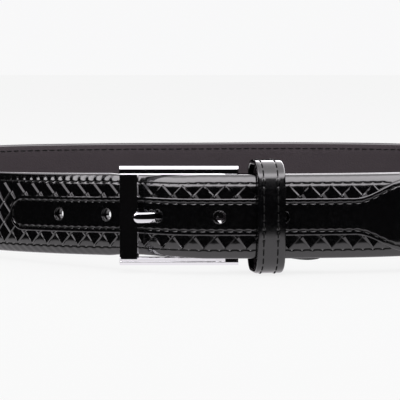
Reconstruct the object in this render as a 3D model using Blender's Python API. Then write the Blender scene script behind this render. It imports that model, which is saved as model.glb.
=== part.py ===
"""A gentlemen's dress belt, fastened into a loop and standing on its edge.

The strap follows one closed plan curve. Its buckle end runs inside its free end where the two
overlap. Every layer of leather is a profile of (depth, height) points swept along that curve:
depth is measured inwards from the strap's face, height from the strap's lower edge.
Lengths are in millimetres until they are written to a mesh.
"""

import math

import bmesh
import bpy
import numpy as np
from mathutils import Matrix, Vector

MM = 0.001

# Strap
WIDTH = 35.0
FACE_THICK = 0.9
CORE_THICK = 1.2
LINING_THICK = 0.8
GAP = 0.3
EDGE_ROUND = 0.7
STRAP_THICK = FACE_THICK + CORE_THICK + LINING_THICK + 2 * GAP
TURNED_EDGE = 1.0  # width of the face leather where it turns over the strap's edges

# Centre strip and seams
STRIP_HALF = 7.7
STRIP_FLARED_HALF = 12.6
STRIP_GAP = 0.25
STRIP_THICK = 0.55
THREAD_WIDE = 0.5
THREAD_THICK = 0.35
THREAD_GAP = 0.2
EDGE_SEAM_IN = 4.0
STRIP_SEAM_IN = 2.2

# Holes
HOLE_PITCH = 26.3
HOLE_RADIUS = 2.6
HOLE_STRETCH = 4.6  # extra length of the hole that the tongue holds open
HOLE_COUNT = 5
HOLE_IN_USE = 3
HOLE_IN_USE_X = -17.4

# Where the strap's pieces begin and end along the front, by their X
BUCKLE_END_X = 22.0
STRIP_END_X = -81.0
FLEX_X = 50.0
FLARE_START_X = 66.0
FLARE_LONG = 24.0
TIP_LONG = 62.0  # from the start of the flare to the tip
TIP_ROUND = 17.0
OVERLAP_DEPTH = STRAP_THICK + STRIP_GAP + THREAD_THICK + GAP
OVERLAP_FADE = 45.0

# The strap's face in plan, from the front, counter-clockwise seen from above
PLAN_CURVE = [
    (2.0, -6.5), (14.0, -6.5), (41.0, -5.4), (80.0, 1.0), (125.0, 22.0), (163.0, 64.0),
    (187.0, 128.0), (190.0, 200.0), (167.0, 270.0), (114.0, 319.0), (57.0, 331.0),
    (-3.0, 327.0), (-62.0, 320.0), (-116.0, 301.0), (-151.0, 250.0), (-156.0, 180.0),
    (-130.0, 109.0), (-86.0, 51.0), (-60.5, 29.2), (-42.0, 15.6), (-33.5, 9.2),
    (-25.3, 3.7), (-17.4, -1.4), (-8.0, -5.3),
]
FINE_STEP = 5.0
COARSE_STEP = 15.0

# The keeper props the front of the strap up, and the rest settles onto the table
FRONT_LIFT = 6.0
LIFT_LEVEL_Y = 4.0  # the strap is level in front of this
LIFT_FADE = 70.0
LIFT_FLOOR = 0.3

# Buckle
FRAME_LEFT = -33.5
FRAME_RIGHT = 16.4
FRAME_LOW = 2.9
FRAME_HIGH = 44.3
FRAME_FRONT = -1.7
FRAME_BACK = 1.1
FRONT_BAR_WIDE = 8.0
ARM_CLEAR = 0.35
LUG_LONG = 5.0
LUG_BACK = 5.0
FRAME_BEVEL = 0.9
HEEL_X = 14.2
HEEL_Y = 2.6
HEEL_RADIUS = 1.5
BORE_CLEAR = 0.15

# Tongue, as its centre line in plan from the heel bar to its tip
TONGUE_LINE = [
    (12.0, 2.6), (4.0, 2.6), (-6.0, 2.4), (-11.5, 1.3), (-17.4, -1.1), (-22.0, -2.8), (-26.6, -3.1),
]
TONGUE_WIDE = 4.4
TONGUE_THICK = 1.7
TONGUE_EDGE = 0.4
TONGUE_TIP = 1.0
EYE_RADIUS = 3.1

# Folded end of the strap round the heel bar
FOLD_THICK = 2.0
FOLD_CLEAR = 0.3
FLAP_END_X = 50.0
FLAP_CORNER = 6.0
FOLD_EDGE_IN = 0.2
FLAP_START_X = 27.0
SLOT_HALF_HIGH = 2.8
SLOT_REACH = 8.0
SLOT_RIGHT_X = 19.0
POST_X = 40.5
POST_IN = 8.5
POST_RADIUS = 1.2
POST_HEAD_RADIUS = 2.6
POST_HEAD_THICK = 0.5

# Keeper
KEEPER_X = 29.2
KEEPER_WIDE = 11.6
KEEPER_HIGH = 45.9
KEEPER_YAW = math.radians(6.0)
KEEPER_LEATHER_THICK = 1.5
KEEPER_LINING_THICK = 0.7
KEEPER_CLEAR = 0.8
KEEPER_ROUND = 6.5
KEEPER_SEAM_IN = 2.6
STAPLE_WIRE = 0.5
STAPLE_WIDE = 1.2
STAPLE_GAP = 0.2
STAPLE_LONG = 8.0


def clear_scene():
    for obj in list(bpy.data.objects):
        bpy.data.objects.remove(obj, do_unlink=True)


def material(name, colour, roughness, metallic=0.0):
    mat = bpy.data.materials.new(name)
    mat.use_nodes = True
    shader = mat.node_tree.nodes["Principled BSDF"]
    shader.inputs["Base Color"].default_value = (*colour, 1.0)
    shader.inputs["Roughness"].default_value = roughness
    shader.inputs["Metallic"].default_value = metallic
    return mat


def add_object(name, mesh_points, faces, mat, origin=(0.0, 0.0, 0.0), smooth=True):
    """An object whose points are in millimetres, with its origin at the given point."""
    origin = Vector(origin)
    mesh = bpy.data.meshes.new(name)
    mesh.from_pydata([(Vector(p) - origin) * MM for p in mesh_points], [], faces)
    clean = bmesh.new()
    clean.from_mesh(mesh)
    bmesh.ops.recalc_face_normals(clean, faces=clean.faces)
    clean.to_mesh(mesh)
    clean.free()
    mesh.materials.append(mat)
    if smooth:
        mesh.shade_smooth()
        mesh.set_sharp_from_angle(angle=math.radians(35))
    obj = bpy.data.objects.new(name, mesh)
    obj.location = origin * MM
    bpy.context.scene.collection.objects.link(obj)
    return obj


def rings_to_solid(rings, closed=False):
    """Joins equal rings of points into a tube, with flat ends unless it is closed on itself."""
    count = len(rings[0])
    points = [point for ring in rings for point in ring]
    faces = []
    last = len(rings) if closed else len(rings) - 1
    for i in range(last):
        here, there = i * count, (i + 1) % len(rings) * count
        for j in range(count):
            k = (j + 1) % count
            faces.append((here + j, here + k, there + k, there + j))
    if not closed:
        faces.append(tuple(range(count)))
        faces.append(tuple(range(len(points) - count, len(points))))
    return points, faces


def box_points(low, high):
    points = [(x, y, z) for x in (low[0], high[0]) for y in (low[1], high[1]) for z in (low[2], high[2])]
    faces = [(0, 1, 3, 2), (4, 6, 7, 5), (0, 4, 5, 1), (2, 3, 7, 6), (0, 2, 6, 4), (1, 5, 7, 3)]
    return points, faces


def cylinder_points(centre, axis, radius, length, sides=16, stretch=0.0):
    """A cylinder about the given axis, stretched level across it into an oblong if asked."""
    axis = Vector(axis).normalized()
    level = Vector((0, 0, 1)).cross(axis)
    level = level.normalized() if level.length > 0 else Vector((1, 0, 0))
    upright = axis.cross(level)
    rings = []
    for end in (-0.5, 0.5):
        ring = []
        for i in range(sides):
            angle = 2 * math.pi * (i + 0.5) / sides
            side = math.copysign(stretch / 2, math.cos(angle))
            offset = level * (radius * math.cos(angle) + side) + upright * radius * math.sin(angle)
            ring.append(Vector(centre) + axis * end * length + offset)
        rings.append(ring)
    return rings_to_solid(rings)


def cutter(name, solids):
    """One hidden object that holds several closed solids, for Booleans to subtract."""
    points, faces = [], []
    for solid_points, solid_faces in solids:
        faces += [tuple(i + len(points) for i in face) for face in solid_faces]
        points += solid_points
    obj = add_object(name, points, faces, None, smooth=False)
    obj.hide_render = True
    obj.display_type = "WIRE"
    return obj


def boolean(obj, other, operation="DIFFERENCE"):
    modifier = obj.modifiers.new(other.name, "BOOLEAN")
    modifier.operation = operation
    modifier.object = other


class PlanCurve:
    """A smooth closed curve through the plan points, read by its arc length."""

    def __init__(self, through, samples=60):
        knots = np.array(through)
        points = []
        for i in range(len(knots)):
            a, b, c, d = (knots[(i + k - 1) % len(knots)] for k in range(4))
            # Slopes that allow for the unequal spacing of the points
            ab, bc, cd = (np.linalg.norm(q - p) for p, q in ((a, b), (b, c), (c, d)))
            slope_b = bc * ((b - a) / ab * bc + (c - b) / bc * ab) / (ab + bc)
            slope_c = bc * ((c - b) / bc * cd + (d - c) / cd * bc) / (bc + cd)
            for t in np.arange(samples) / samples:
                cubic = (2 * t**3 - 3 * t**2 + 1) * b + (t**3 - 2 * t**2 + t) * slope_b
                points.append(cubic + (3 * t**2 - 2 * t**3) * c + (t**3 - t**2) * slope_c)
        points.append(points[0])
        self.points = np.array(points)
        steps = np.linalg.norm(np.diff(self.points, axis=0), axis=1)
        self.along = np.concatenate([[0.0], np.cumsum(steps)])
        self.length = self.along[-1]

    def at(self, s):
        s = s % self.length
        return np.array([np.interp(s, self.along, self.points[:, axis]) for axis in (0, 1)])

    def outward(self, s):
        step = self.at(s + 1.0) - self.at(s - 1.0)
        return np.array([step[1], -step[0]]) / np.linalg.norm(step)

    def where_front_x(self, x):
        """Arc length at which the front of the curve passes the given X, on either side of its start."""
        first = self.points[0][0]
        count = len(self.points)
        if x >= first:
            part = slice(0, count // 4)
            return float(np.interp(x, self.points[part, 0], self.along[part]))
        part = slice(2 * count // 3, count)
        return float(np.interp(x, self.points[part, 0], self.along[part])) - self.length


CURVE = PlanCurve(PLAN_CURVE)
BUCKLE_END = CURVE.where_front_x(BUCKLE_END_X)
FLEX = CURVE.length + CURVE.where_front_x(FLEX_X)
STRIP_END = CURVE.length + CURVE.where_front_x(STRIP_END_X)
FLARE_START = CURVE.length + CURVE.where_front_x(FLARE_START_X)
TIP = FLARE_START + TIP_LONG
HOLES = [
    CURVE.length + CURVE.where_front_x(HOLE_IN_USE_X) + (number - HOLE_IN_USE) * HOLE_PITCH
    for number in range(1, HOLE_COUNT + 1)
]


def smoothstep(low, high, value):
    t = min(max((value - low) / (high - low), 0.0), 1.0)
    return t * t * (3 - 2 * t)


def lift(y):
    """Height of the strap's lower edge over the table, at the given distance back."""
    behind = max(0.0, y - LIFT_LEVEL_Y)
    return max(0.0, (FRONT_LIFT + LIFT_FLOOR) * math.exp(-behind / LIFT_FADE) - LIFT_FLOOR)


def inset(s):
    """How far the strap lies inside the plan curve: only where it runs under the free end."""
    clear_of_tip = TIP - CURVE.length + 4.0
    return OVERLAP_DEPTH * (1.0 - smoothstep(clear_of_tip, clear_of_tip + OVERLAP_FADE, s))


def strap_point(s, depth, height):
    """A point of the strap, by its place along, depth below the face and height over the lower edge."""
    plan = CURVE.at(s)
    level = plan - CURVE.outward(s) * (depth + inset(s))
    return Vector((level[0], level[1], height + lift(plan[1])))


def stations(start, end):
    """Places along the strap for its sections: close together where it bends round the buckle."""
    bend_start = CURVE.length + CURVE.where_front_x(-48.0)
    bend_end = CURVE.length
    marks = [start, end] + [mark for mark in (bend_start, bend_end) if start < mark < end]
    marks.sort()
    found = [marks[0]]
    for low, high in zip(marks, marks[1:]):
        step = FINE_STEP if low >= bend_start and high <= bend_end else COARSE_STEP
        pieces = max(1, round((high - low) / step))
        found += [low + (high - low) * i / pieces for i in range(1, pieces + 1)]
    return found


def sweep(name, places, profile, mat, origin=(0.0, 0.0, 0.0)):
    rings = [[strap_point(s, depth, height) for depth, height in profile(s)] for s in places]
    return add_object(name, *rings_to_solid(rings), mat, origin)


def half_width(s):
    """Half the strap's width, which shrinks round the tip."""
    into_tip = max(0.0, s - (TIP - TIP_ROUND)) / TIP_ROUND
    return WIDTH / 2 * math.sqrt(max(1.0 - into_tip**2, 0.02))


def strip_half_width(s):
    flared = smoothstep(FLARE_START, FLARE_START + FLARE_LONG, s)
    half = STRIP_HALF + (STRIP_FLARED_HALF - STRIP_HALF) * flared
    from_end = min(max(s - STRIP_END, 0.0) / STRIP_HALF, 1.0)
    rounded = math.sqrt(max(1.0 - (1.0 - from_end) ** 2, 0.04))
    inside_seams = half_width(s) - EDGE_SEAM_IN - THREAD_WIDE / 2 - GAP
    return min(half * rounded, max(inside_seams, 0.5))


def face_profile(s):
    """The face leather: a shallow channel with its edges turned back over the core and the lining."""
    half, middle = half_width(s), WIDTH / 2
    inner = max(half - TURNED_EDGE, half * 0.5)
    side = [(EDGE_ROUND, half), (STRAP_THICK - EDGE_ROUND, half), (STRAP_THICK, half - EDGE_ROUND)]
    side = [(0.0, half - EDGE_ROUND)] + side + [(STRAP_THICK, inner), (FACE_THICK, inner)]
    upper = [(depth, middle + out) for depth, out in side]
    lower = [(depth, middle - out) for depth, out in reversed(side)]
    return upper + lower


def slab_profile(top, bottom, clear):
    """A flat layer inside the turned edges, between two depths."""

    def profile(s):
        half = max(half_width(s) - TURNED_EDGE, half_width(s) * 0.5) - clear
        low, high = WIDTH / 2 - half, WIDTH / 2 + half
        return [(top, high), (bottom, high), (bottom, low), (top, low)]

    return profile


def strip_profile(s):
    half = strip_half_width(s)
    low, high = WIDTH / 2 - half, WIDTH / 2 + half
    bottom, top = -STRIP_GAP, -STRIP_GAP - STRIP_THICK
    return [(bottom, high), (bottom, low), (top, low), (top, high)]


def thread_profile(under, side, half, seam_in):
    """A seam thread that lies on a surface, at a distance in from the edge of what it sews."""

    def profile(s):
        height = WIDTH / 2 + side * max(half(s) - seam_in, 0.6)
        low, high = height - THREAD_WIDE / 2, height + THREAD_WIDE / 2
        top = under - THREAD_THICK
        return [(under, high), (under, low), (top, low), (top, high)]

    return profile


def strap_layers(prefix, start, end, mats, origin):
    """The layers and edge seams of one stretch of strap."""
    places = stations(start, end)
    if end == TIP:
        places = places[:-2] + [TIP - TIP_ROUND * share for share in (1.0, 0.7, 0.45, 0.2, 0.06, 0.0)]
    core_top = FACE_THICK + GAP
    lining_top = core_top + CORE_THICK + GAP
    layers = [
        sweep(prefix + "face_leather", places, face_profile, mats["patent"], origin),
        sweep(
            prefix + "core", places,
            slab_profile(core_top, core_top + CORE_THICK, GAP), mats["core"], origin,
        ),
        sweep(
            prefix + "lining", places,
            slab_profile(lining_top, lining_top + LINING_THICK, GAP), mats["lining"], origin,
        ),
    ]
    for word, side in (("upper", 1), ("lower", -1)):
        profile = thread_profile(-STRIP_GAP, side, half_width, EDGE_SEAM_IN)
        seam_places = [s for s in places if s <= TIP - TIP_ROUND * 0.3]
        sweep(f"{prefix}{word}_edge_seam", seam_places, profile, mats["thread"], origin)
    return layers


def strip_pieces(prefix, start, end, mats, origin):
    """The centre strip of one stretch of strap and its two seams."""
    places = stations(start, end)
    if start == STRIP_END:
        places = [start + STRIP_HALF * share for share in (0.0, 0.15, 0.4, 1.0)] + places[1:]
    if end == TIP:
        places = places[:-2] + [TIP - TIP_ROUND * share for share in (1.0, 0.7, 0.45, 0.2)]
    strip = sweep(prefix + "centre_strip", places, strip_profile, mats["patent"], origin)
    seam_places = [s for s in places if STRIP_END + STRIP_HALF <= s <= TIP - TIP_ROUND]
    under = -STRIP_GAP - STRIP_THICK - THREAD_GAP
    for word, side in (("upper", 1), ("lower", -1)):
        profile = thread_profile(under, side, strip_half_width, STRIP_SEAM_IN)
        sweep(f"{prefix}{word}_strip_seam", seam_places, profile, mats["thread"], origin)
    return [strip]


def hole_cutters():
    solids = []
    for number, s in enumerate(HOLES, start=1):
        outward = CURVE.outward(s)
        centre = strap_point(s, STRAP_THICK / 2, WIDTH / 2)
        stretch = HOLE_STRETCH if number == HOLE_IN_USE else 0.0
        axis = (outward[0], outward[1], 0.0)
        solids.append(cylinder_points(centre, axis, HOLE_RADIUS, 4 * STRAP_THICK, 12, stretch))
    return cutter("hole_punches", solids)


def fold_outline():
    """Plan points of the folded end: in front of the heel bar, round it and back behind the strap."""
    inner = HEEL_RADIUS + FOLD_CLEAR
    outer = inner + FOLD_THICK
    turn = [math.radians(angle) for angle in range(270, 89, -30)]

    def arc(radius):
        return [(HEEL_X + radius * math.cos(a), HEEL_Y + radius * math.sin(a)) for a in turn]

    def behind(x, extra):
        s = CURVE.where_front_x(x)
        point = strap_point(s, STRAP_THICK + GAP + extra, 0.0)
        return (point.x, point.y)

    front_end = BUCKLE_END_X - GAP
    flap = [FLAP_START_X + (FLAP_END_X - FLAP_START_X) * share for share in (0.0, 0.5, 1.0)]
    outside = [(front_end, HEEL_Y - outer)] + arc(outer) + [behind(x, FOLD_THICK) for x in flap]
    inside = [(front_end, HEEL_Y - inner)] + arc(inner) + [behind(x, 0.0) for x in flap]
    return outside, inside


def fold_piece(mat):
    """The folded end, as wide as the strap, its flap's corners cut off, with a slot for the tongue."""
    outside, inside = fold_outline()
    low = FRONT_LIFT + FOLD_EDGE_IN
    high = FRONT_LIFT + WIDTH - FOLD_EDGE_IN
    rings = []
    for out, ins in zip(outside, inside):
        from_end = FLAP_END_X - out[0]
        cut = 0.0
        if out in outside[8:] and from_end < FLAP_CORNER:
            cut = FLAP_CORNER
        rings.append([(*out, low + cut), (*out, high - cut), (*ins, high - cut), (*ins, low + cut)])
    fold = add_object("buckle_fold", *rings_to_solid(rings), mat)
    middle = (low + high) / 2
    slot = box_points(
        (HEEL_X - SLOT_REACH, HEEL_Y - SLOT_REACH, middle - SLOT_HALF_HIGH),
        (SLOT_RIGHT_X, HEEL_Y + SLOT_REACH, middle + SLOT_HALF_HIGH),
    )
    boolean(fold, cutter("tongue_slot", [slot]))
    return fold


def posts(mats, fold, layers):
    """Two screw posts through strap and flap: a flat head behind the flap and a screw through both."""
    s = CURVE.where_front_x(POST_X)
    outward = Vector((*CURVE.outward(s), 0.0))
    shank_long = STRAP_THICK + GAP + FOLD_THICK - FACE_THICK
    holes = []
    for word, height in (("lower", POST_IN), ("upper", WIDTH - POST_IN)):
        flap_back = strap_point(s, STRAP_THICK + GAP + FOLD_THICK, height)
        head_middle = flap_back - outward * (GAP + POST_HEAD_THICK / 2)
        screw_middle = flap_back + outward * shank_long / 2
        holes.append(cylinder_points(screw_middle, outward, POST_RADIUS + GAP, shank_long + 8.0, 12))
        head = cylinder_points(head_middle, outward, POST_HEAD_RADIUS, POST_HEAD_THICK, 16)
        screw = cylinder_points(screw_middle, outward, POST_RADIUS, shank_long, 12)
        add_object(f"{word}_post_head", *head, mats["chrome"])
        add_object(f"{word}_post_screw", *screw, mats["chrome"])
    punch = cutter("post_holes", holes)
    for obj in [fold] + layers:
        boolean(obj, punch)


def buckle_pieces(mats):
    """The frame, a wide front bar with thin arms and lugs, and the heel bar through the lugs."""
    origin = (HEEL_X, HEEL_Y, (FRAME_LOW + FRAME_HIGH) / 2)
    inner_low = FRONT_LIFT - ARM_CLEAR
    inner_high = FRONT_LIFT + WIDTH + ARM_CLEAR
    outline = [
        (FRAME_LEFT, FRAME_FRONT), (FRAME_RIGHT, FRAME_FRONT), (FRAME_RIGHT, LUG_BACK),
        (FRAME_RIGHT - LUG_LONG, LUG_BACK), (FRAME_RIGHT - LUG_LONG - 2.0, FRAME_BACK),
        (FRAME_LEFT, FRAME_BACK),
    ]
    rings = [[(x, y, z) for x, y in outline] for z in (FRAME_LOW, FRAME_HIGH)]
    frame = add_object("buckle_frame", *rings_to_solid(rings), mats["chrome"], origin)
    bore = cylinder_points(
        (HEEL_X, HEEL_Y, origin[2]), (0, 0, 1), HEEL_RADIUS + BORE_CLEAR, FRAME_HIGH, 16
    )
    window = box_points(
        (FRAME_LEFT + FRONT_BAR_WIDE, FRAME_FRONT - 5.0, inner_low),
        (FRAME_RIGHT + 5.0, LUG_BACK + 5.0, inner_high),
    )
    boolean(frame, cutter("frame_window", [window]))
    boolean(frame, cutter("heel_bore", [bore]))
    bevel = frame.modifiers.new("edges", "BEVEL")
    bevel.width = FRAME_BEVEL * MM
    bevel.segments = 2
    bevel.limit_method = "ANGLE"
    bevel.angle_limit = math.radians(60)
    bar_long = FRAME_HIGH - FRAME_LOW - 1.0
    bar = cylinder_points(origin, (0, 0, 1), HEEL_RADIUS, bar_long, 16)
    add_object("heel_bar", *bar, mats["chrome"], origin)


def tongue_piece(mat):
    """The tongue: an eye round the heel bar and a curved blade to its round tip."""
    middle = FRONT_LIFT + WIDTH / 2
    origin = (HEEL_X, HEEL_Y, middle)
    line = [Vector((x, y)) for x, y in TONGUE_LINE]
    smooth_line = []
    for i in range(len(line) - 1):
        before, after = line[max(i - 1, 0)], line[min(i + 2, len(line) - 1)]
        for t in (0.0, 0.5):
            a, b = line[i], line[i + 1]
            bend = (2 * t**3 - 3 * t**2 + 1) * a + (3 * t**2 - 2 * t**3) * b
            bend += (t**3 - 2 * t**2 + t) * (b - before) / 2 + (t**3 - t**2) * (after - a) / 2
            smooth_line.append(bend)
    smooth_line.append(line[-1])
    tip_way = (line[-1] - line[-2]).normalized()
    sections = [(point, 1.0) for point in smooth_line]
    sections += [(line[-1] + tip_way * TONGUE_TIP * 0.7, 0.8), (line[-1] + tip_way * TONGUE_TIP, 0.45)]
    rings = []
    for i, (point, share) in enumerate(sections):
        way = sections[min(i + 1, len(sections) - 1)][0] - sections[max(i - 1, 0)][0]
        side = Vector((-way.y, way.x)).normalized()
        thick, wide, edge = TONGUE_THICK / 2 * share, TONGUE_WIDE / 2 * share, TONGUE_EDGE * share
        corners = [
            (thick, wide - edge), (thick - edge, wide), (edge - thick, wide), (-thick, wide - edge),
            (-thick, edge - wide), (edge - thick, -wide), (thick - edge, -wide), (thick, edge - wide),
        ]
        rings.append([(point.x + side.x * a, point.y + side.y * a, middle + b) for a, b in corners])
    blade = add_object("tongue", *rings_to_solid(rings), mat, origin)
    eye = cutter("tongue_eye", [cylinder_points(origin, (0, 0, 1), EYE_RADIUS, TONGUE_WIDE, 20)])
    bore = cylinder_points(origin, (0, 0, 1), HEEL_RADIUS + BORE_CLEAR, 3 * TONGUE_WIDE, 16)
    boolean(blade, eye, "UNION")
    boolean(blade, cutter("tongue_bore", [bore]))


def keeper_outline(grow, corner_sides=4):
    """The keeper's path round the stack of leather, in (depth, height), grown outwards from its inside."""
    front = -STRIP_GAP - STRIP_THICK - THREAD_GAP - THREAD_THICK - KEEPER_CLEAR
    stack = OVERLAP_DEPTH + STRAP_THICK + GAP + FOLD_THICK + GAP + STAPLE_WIRE
    back = stack + KEEPER_CLEAR
    wall = KEEPER_LEATHER_THICK + GAP + KEEPER_LINING_THICK
    low, high = wall - grow, KEEPER_HIGH - wall + grow
    front, back = front - grow, back + grow
    radius = KEEPER_ROUND - wall + grow
    corners = [
        (front + radius, low + radius, 180), (back - radius, low + radius, 270),
        (back - radius, high - radius, 0), (front + radius, high - radius, 90),
    ]
    points = []
    for depth, height, start in corners:
        for i in range(corner_sides + 1):
            angle = math.radians(start + 90 * i / corner_sides)
            points.append((depth + radius * math.cos(angle), height + radius * math.sin(angle)))
    return points


def keeper_point(depth, across, height):
    """A point of the keeper, square on its own line, which is turned a little from the strap's."""
    face = CURVE.at(CURVE.where_front_x(KEEPER_X))
    way = Vector((math.cos(KEEPER_YAW), math.sin(KEEPER_YAW)))
    level = Vector(face) + way * across + Vector((-way.y, way.x)) * depth
    return Vector((level.x, level.y, height))


def keeper_band(name, inner_grow, thick, across, wide, mat, run=None):
    """A band of the keeper between two growths of its path: the whole loop, or a run of it."""
    near, far = keeper_outline(inner_grow), keeper_outline(inner_grow + thick)
    rings = []
    for i in run or range(len(near)):
        corners = ((near[i], -1), (near[i], 1), (far[i], 1), (far[i], -1))
        rings.append([
            keeper_point(depth, across + edge * wide / 2, height) for (depth, height), edge in corners
        ])
    solid = rings_to_solid(rings, closed=run is None)
    return add_object(name, *solid, mat, keeper_point(0.0, 0.0, KEEPER_HIGH / 2))


def keeper_pieces(mats):
    leather_in = KEEPER_LINING_THICK + GAP
    lining_wide = KEEPER_WIDE - 2 * GAP
    keeper_band("keeper_lining", 0.0, KEEPER_LINING_THICK, 0.0, lining_wide, mats["lining"])
    keeper_band("keeper_loop", leather_in, KEEPER_LEATHER_THICK, 0.0, KEEPER_WIDE, mats["patent"])
    thread_in = leather_in + KEEPER_LEATHER_THICK + THREAD_GAP
    seam_off = KEEPER_WIDE / 2 - KEEPER_SEAM_IN
    count = len(keeper_outline(0.0))
    over_the_front = [(count + i) % count for i in range(-3, 3)]
    for word, side in (("left", -1), ("right", 1)):
        keeper_band(
            f"keeper_{word}_seam", thread_in, THREAD_THICK, side * seam_off, THREAD_WIDE,
            mats["thread"], over_the_front,
        )
    keeper_staple(mats["chrome"])


def keeper_staple(mat):
    """A flat wire staple across the keeper's butt joint, inside its back wall."""
    outside = max(depth for depth, _ in keeper_outline(0.0)) - STAPLE_GAP
    half = STAPLE_WIDE / 2
    inside = outside - STAPLE_WIRE
    section = ((outside, -half), (outside, half), (inside, half), (inside, -half))
    rings = []
    for height in (KEEPER_HIGH / 2 - STAPLE_LONG / 2, KEEPER_HIGH / 2 + STAPLE_LONG / 2):
        rings.append([keeper_point(depth, across, height) for depth, across in section])
    return add_object("keeper_staple", *rings_to_solid(rings), mat, keeper_point(0.0, 0.0, KEEPER_HIGH / 2))


def stand_on_origin():
    """Parents every piece to an empty, moved so that the belt's box stands centred on the origin."""
    bpy.context.view_layer.update()
    graph = bpy.context.evaluated_depsgraph_get()
    corners = []
    for obj in bpy.context.scene.objects:
        if not obj.hide_render:
            shape = obj.evaluated_get(graph)
            corners += [shape.matrix_world @ Vector(corner) for corner in shape.bound_box]
    low = Vector([min(corner[i] for corner in corners) for i in range(3)])
    high = Vector([max(corner[i] for corner in corners) for i in range(3)])
    centre = bpy.data.objects.new("belt_centre", None)
    for obj in list(bpy.context.scene.objects):
        obj.parent = centre
    bpy.context.scene.collection.objects.link(centre)
    centre.matrix_world = Matrix.Translation((-(low.x + high.x) / 2, -(low.y + high.y) / 2, -low.z))


def build_belt():
    clear_scene()
    mats = {
        "patent": material("patent_leather", (0.006, 0.006, 0.007), 0.08),
        "lining": material("lining_leather", (0.038, 0.030, 0.034), 0.65),
        "core": material("filler_board", (0.18, 0.14, 0.10), 0.9),
        "thread": material("waxed_thread", (0.008, 0.008, 0.009), 0.5),
        "chrome": material("chrome", (0.82, 0.82, 0.84), 0.05, 1.0),
    }
    layers = strap_layers("", BUCKLE_END, FLEX, mats, (0.0, 0.0, 0.0))
    strips = strip_pieces("", STRIP_END, FLEX, mats, (0.0, 0.0, 0.0))
    flex_axis = strap_point(FLEX, -STRIP_GAP - STRIP_THICK - THREAD_GAP - THREAD_THICK, WIDTH / 2)
    strap_layers("tip_", FLEX + GAP, TIP, mats, flex_axis)
    strip_pieces("tip_", FLEX + GAP, TIP, mats, flex_axis)
    punches = hole_cutters()
    for layer in layers + strips:
        boolean(layer, punches)
    fold = fold_piece(mats["lining"])
    posts(mats, fold, layers)
    buckle_pieces(mats)
    tongue_piece(mats["chrome"])
    keeper_pieces(mats)
    stand_on_origin()


build_belt()
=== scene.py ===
"""A patent leather dress belt, fastened into a loop and standing on its edge.

The strap's surface is laid out flat first, as (along, height, outwards) in millimetres, with its
weave, seams and holes, and is then wrapped onto the closed curve that the CAD strap follows.
"""

import math

import bmesh
import bpy
import numpy as np
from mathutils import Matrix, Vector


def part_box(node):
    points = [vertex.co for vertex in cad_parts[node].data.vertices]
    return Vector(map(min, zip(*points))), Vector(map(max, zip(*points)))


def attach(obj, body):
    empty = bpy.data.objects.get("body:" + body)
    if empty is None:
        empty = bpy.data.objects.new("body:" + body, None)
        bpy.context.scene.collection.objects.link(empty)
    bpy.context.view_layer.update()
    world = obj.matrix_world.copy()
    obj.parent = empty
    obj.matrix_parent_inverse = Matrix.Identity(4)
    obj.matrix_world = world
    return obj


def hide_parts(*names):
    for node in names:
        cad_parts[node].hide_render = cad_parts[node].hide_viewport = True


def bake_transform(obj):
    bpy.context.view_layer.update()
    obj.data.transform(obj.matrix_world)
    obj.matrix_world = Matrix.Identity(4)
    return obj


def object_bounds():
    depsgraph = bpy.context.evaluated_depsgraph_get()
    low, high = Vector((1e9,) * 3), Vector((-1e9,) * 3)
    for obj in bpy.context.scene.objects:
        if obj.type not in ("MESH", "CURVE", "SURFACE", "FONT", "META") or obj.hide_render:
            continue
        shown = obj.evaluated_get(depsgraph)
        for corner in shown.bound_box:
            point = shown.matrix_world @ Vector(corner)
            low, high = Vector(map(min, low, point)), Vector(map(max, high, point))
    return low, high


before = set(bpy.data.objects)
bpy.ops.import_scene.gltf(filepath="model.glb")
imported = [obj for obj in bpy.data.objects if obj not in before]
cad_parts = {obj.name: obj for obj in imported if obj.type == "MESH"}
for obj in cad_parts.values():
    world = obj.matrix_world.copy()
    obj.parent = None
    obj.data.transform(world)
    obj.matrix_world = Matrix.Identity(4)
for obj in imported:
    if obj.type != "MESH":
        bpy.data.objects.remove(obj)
CAD_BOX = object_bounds()

MM = 0.001
HEEL = np.array([14.2, 2.6])  # the heel bar in the plan of the curve below
HEEL_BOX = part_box("heel_bar")
SHIFT = np.array([(HEEL_BOX[0][i] + HEEL_BOX[1][i]) / 2 - HEEL[i] * MM for i in (0, 1)])

# The strap, as the CAD strap has it
PLAN_CURVE = [
    (2.0, -6.5), (14.0, -6.5), (41.0, -5.4), (80.0, 1.0), (125.0, 22.0), (163.0, 64.0),
    (187.0, 128.0), (190.0, 200.0), (167.0, 270.0), (114.0, 319.0), (57.0, 331.0),
    (-3.0, 327.0), (-62.0, 320.0), (-116.0, 301.0), (-151.0, 250.0), (-156.0, 180.0),
    (-130.0, 109.0), (-86.0, 51.0), (-60.5, 29.2), (-42.0, 15.6), (-33.5, 9.2),
    (-25.3, 3.7), (-17.4, -1.4), (-8.0, -5.3),
]
WIDTH = 35.0
HALF = WIDTH / 2
STRAP_THICK = 3.5
OVERLAP_DEPTH = 4.4
OVERLAP_FADE = 45.0
FRONT_LIFT = 6.0
LIFT_LEVEL_Y = 4.0
LIFT_FADE = 70.0
LIFT_FLOOR = 0.3
BUCKLE_END_X = 22.0
STRIP_END_X = -83.0
SPLIT_X = 28.8  # under the keeper, where the belt's pieces meet the free end's
FLEX_SPAN_X = (47.0, 59.0)  # a span along the free end, by X; nothing bends the free end here
FLARE_START_X = 64.5
FLARE_LONG = 23.0
TIP_LONG = 63.5
TIP_ROUND = 17.0
HOLE_PITCH = 26.3
HOLE_IN_USE_X = -17.4
HOLE_IN_USE = 3
HOLE_COUNT = 5
HOLE_RADIUS = 2.6
HOLE_STRETCH = 2.2
HOLE_SLANT = 0.84  # how far the used hole shifts along for each millimetre of depth
HOLE_SHIFT = -0.6
HOLE_CLOSING = 0.75  # an unused hole narrows this much towards the lining
PUNCH_SIDES = 32
LIP_SIDES = 40

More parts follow.
